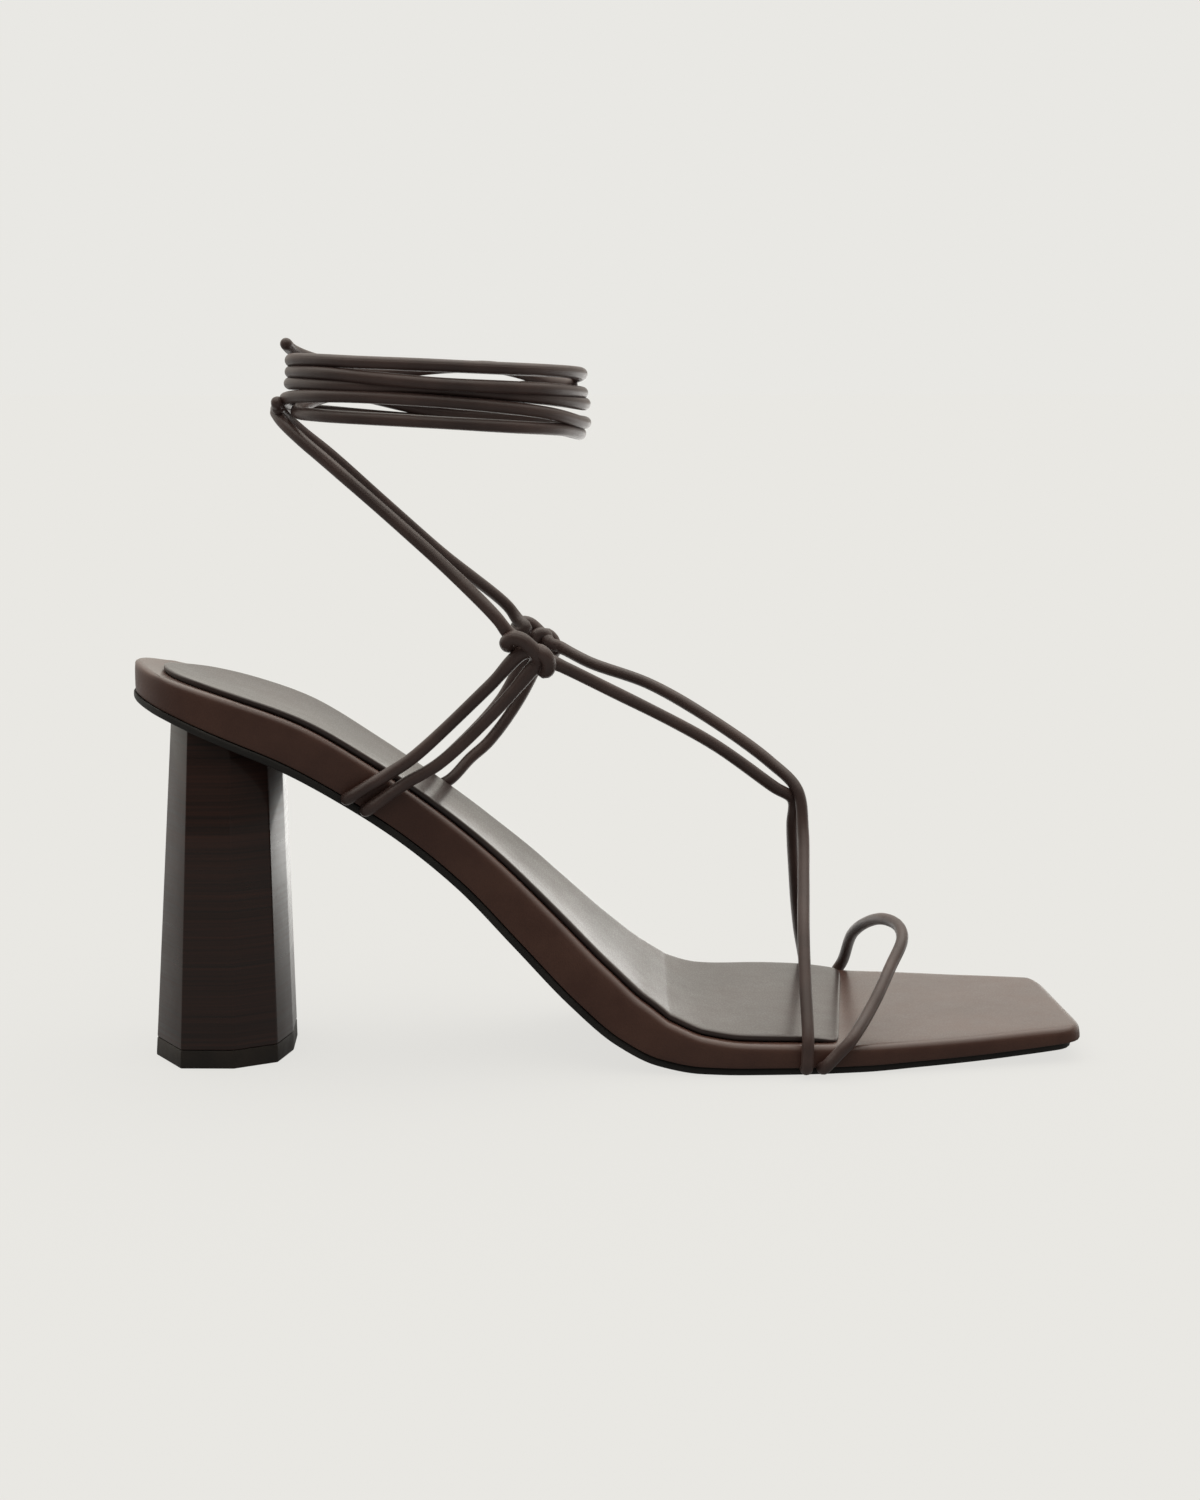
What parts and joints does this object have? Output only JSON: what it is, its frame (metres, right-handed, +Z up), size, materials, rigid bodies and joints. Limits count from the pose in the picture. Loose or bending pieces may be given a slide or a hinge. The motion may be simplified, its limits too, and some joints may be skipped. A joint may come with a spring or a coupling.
{
  "type": "high heeled sandal",
  "caption": "Square toe block heel sandal with round leather cords that cross on the instep, knot at the ankle and wrap round it",
  "frame": {"origin": "on the floor under the middle of the sandal's box", "axes": "+X to the toe along the sandal's length, +Y to the inner side of the foot, +Z up"},
  "size_m": [0.2288, 0.0886, 0.173],
  "materials": {
    "outsole": "matt thin sheet",
    "midsole_cover": "smooth satin",
    "sock": "satin with a fine grain",
    "heel_stack": "stacked layers, stained and waxed",
    "heel_tip": "matt",
    "cord": "satin round cord"
  },
  "bodies": {
    "root": {"outsole": "outsole", "midsole": "midsole_cover", "sock_pad": "sock", "heel_block": "heel_stack", "heel_tip": "heel_tip", "strap_upper": "cord", "toe_strap": "cord"}
  },
  "joints": []
}
